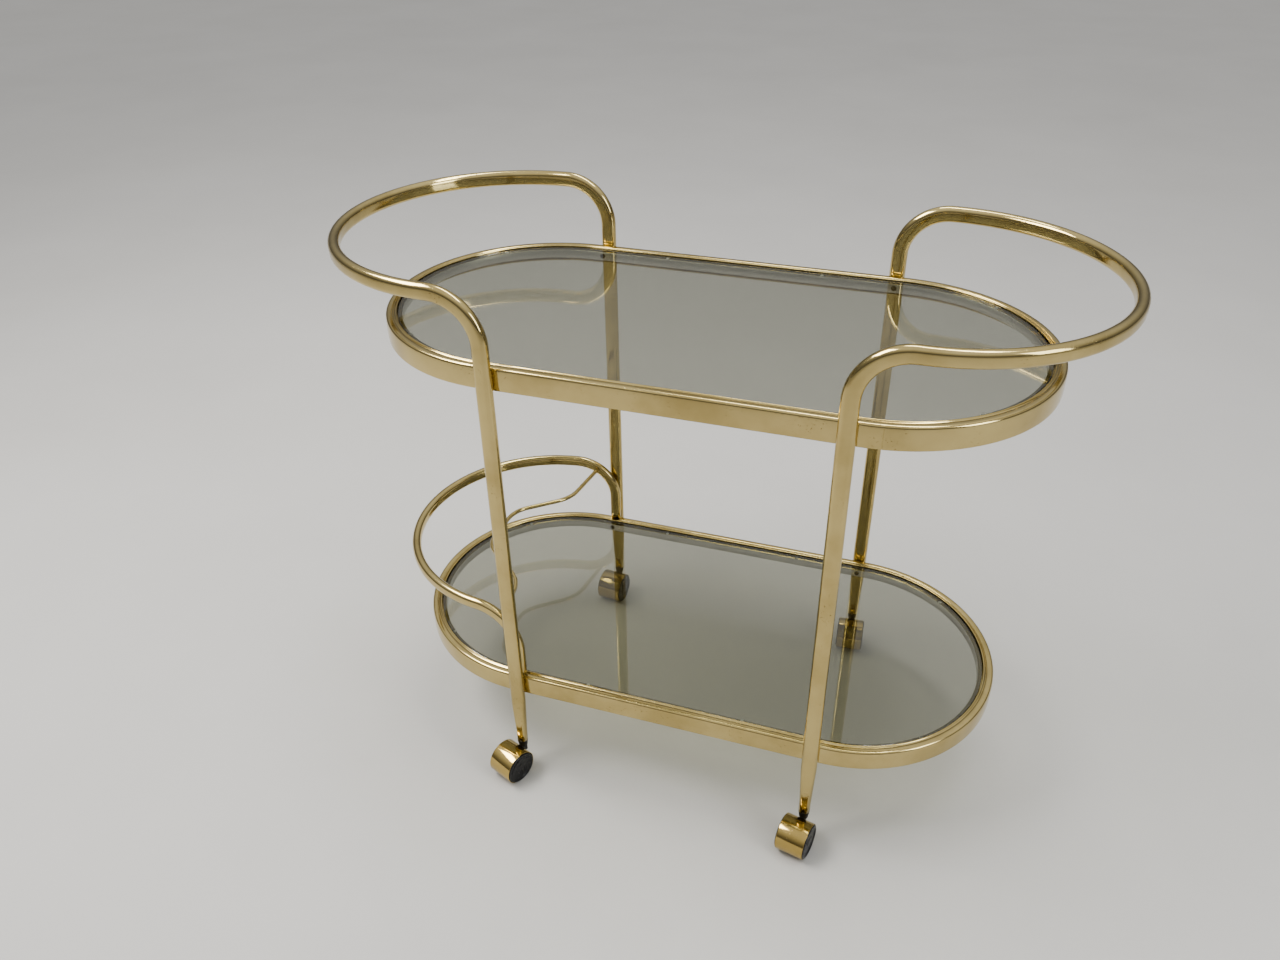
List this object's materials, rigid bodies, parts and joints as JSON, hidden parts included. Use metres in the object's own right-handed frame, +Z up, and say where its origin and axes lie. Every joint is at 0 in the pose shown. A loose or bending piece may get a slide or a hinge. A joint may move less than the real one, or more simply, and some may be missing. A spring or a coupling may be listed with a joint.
{
  "type": "bar cart",
  "caption": "Two-tier oval bar cart with bent-tube end handles, smoked glass shelves, a bottle rail with a wire divider, and twin-wheel casters.",
  "frame": {"origin": "on the floor, at the middle of the box around the whole cart", "axes": "+X along the length towards the end with no bottle rail, +Y towards the back, +Z up"},
  "size_m": [0.9344, 0.4647, 0.7205],
  "materials": {
    "brass_finish": "polished brass plating with small tarnish spots",
    "smoked_glass": "smoked grey-green glass with polished edges",
    "clear_pad": "clear soft plastic",
    "steel": "plated steel",
    "black_plastic": "black moulded plastic",
    "black_wheel": "hard black plastic, slightly worn"
  },
  "bodies": {
    "frame": {"left_end_tube": "brass_finish", "right_end_tube": "brass_finish", "upper_rail": "brass_finish", "lower_rail": "brass_finish", "upper_glass": "smoked_glass", "lower_glass": "smoked_glass", "upper_glass_pads": "clear_pad", "lower_glass_pads": "clear_pad", "upper_rail_screws": "steel", "lower_rail_screws": "steel", "leg_nut_plates": "steel", "bottle_rail": "brass_finish", "bottle_divider": "brass_finish", "bottle_post_plugs": "steel", "bottle_rail_screws": "steel", "fl_socket": "black_plastic", "fr_socket": "black_plastic", "bl_socket": "black_plastic", "br_socket": "black_plastic"},
    "fl_caster": {"fl_stem": "steel", "fl_fork": "black_plastic", "fl_hood": "brass_finish", "fl_axle": "steel"},
    "fl_left": {"fl_wheel_left": "black_wheel"},
    "fl_right": {"fl_wheel_right": "black_wheel"},
    "fr_caster": {"fr_stem": "steel", "fr_fork": "black_plastic", "fr_hood": "brass_finish", "fr_axle": "steel"},
    "fr_left": {"fr_wheel_left": "black_wheel"},
    "fr_right": {"fr_wheel_right": "black_wheel"},
    "bl_caster": {"bl_stem": "steel", "bl_fork": "black_plastic", "bl_hood": "brass_finish", "bl_axle": "steel"},
    "bl_left": {"bl_wheel_left": "black_wheel"},
    "bl_right": {"bl_wheel_right": "black_wheel"},
    "br_caster": {"br_stem": "steel", "br_fork": "black_plastic", "br_hood": "brass_finish", "br_axle": "steel"},
    "br_left": {"br_wheel_left": "black_wheel"},
    "br_right": {"br_wheel_right": "black_wheel"}
  },
  "joints": [
    {"name": "fl_swivel", "type": "hinge", "parent": "frame", "child": "fl_caster", "pos_m": [-0.199, -0.18084, 0.042], "axis": [0, 0, 1], "continuous": true},
    {"name": "fl_left_spin", "type": "hinge", "parent": "fl_caster", "child": "fl_left", "pos_m": [-0.20799, -0.20309, 0.0225], "axis": [0.9272, -0.3746, 0], "continuous": true},
    {"name": "fl_right_spin", "type": "hinge", "parent": "fl_caster", "child": "fl_right", "pos_m": [-0.20799, -0.20309, 0.0225], "axis": [0.9272, -0.3746, 0], "continuous": true},
    {"name": "fr_swivel", "type": "hinge", "parent": "frame", "child": "fr_caster", "pos_m": [0.199, -0.18084, 0.042], "axis": [0, 0, 1], "continuous": true},
    {"name": "fr_left_spin", "type": "hinge", "parent": "fr_caster", "child": "fr_left", "pos_m": [0.19401, -0.20432, 0.0225], "axis": [0.9781, -0.2079, 0], "continuous": true},
    {"name": "fr_right_spin", "type": "hinge", "parent": "fr_caster", "child": "fr_right", "pos_m": [0.19401, -0.20432, 0.0225], "axis": [0.9781, -0.2079, 0], "continuous": true},
    {"name": "bl_swivel", "type": "hinge", "parent": "frame", "child": "bl_caster", "pos_m": [-0.199, 0.22516, 0.042], "axis": [0, 0, 1], "continuous": true},
    {"name": "bl_left_spin", "type": "hinge", "parent": "bl_caster", "child": "bl_left", "pos_m": [-0.20109, 0.20125, 0.0225], "axis": [0.9962, -0.0872, 0], "continuous": true},
    {"name": "bl_right_spin", "type": "hinge", "parent": "bl_caster", "child": "bl_right", "pos_m": [-0.20109, 0.20125, 0.0225], "axis": [0.9962, -0.0872, 0], "continuous": true},
    {"name": "br_swivel", "type": "hinge", "parent": "frame", "child": "br_caster", "pos_m": [0.199, 0.22516, 0.042], "axis": [0, 0, 1], "continuous": true},
    {"name": "br_left_spin", "type": "hinge", "parent": "br_caster", "child": "br_left", "pos_m": [0.20067, 0.20122, 0.0225], "axis": [0.9976, 0.0698, 0], "continuous": true},
    {"name": "br_right_spin", "type": "hinge", "parent": "br_caster", "child": "br_right", "pos_m": [0.20067, 0.20122, 0.0225], "axis": [0.9976, 0.0698, 0], "continuous": true}
  ]
}
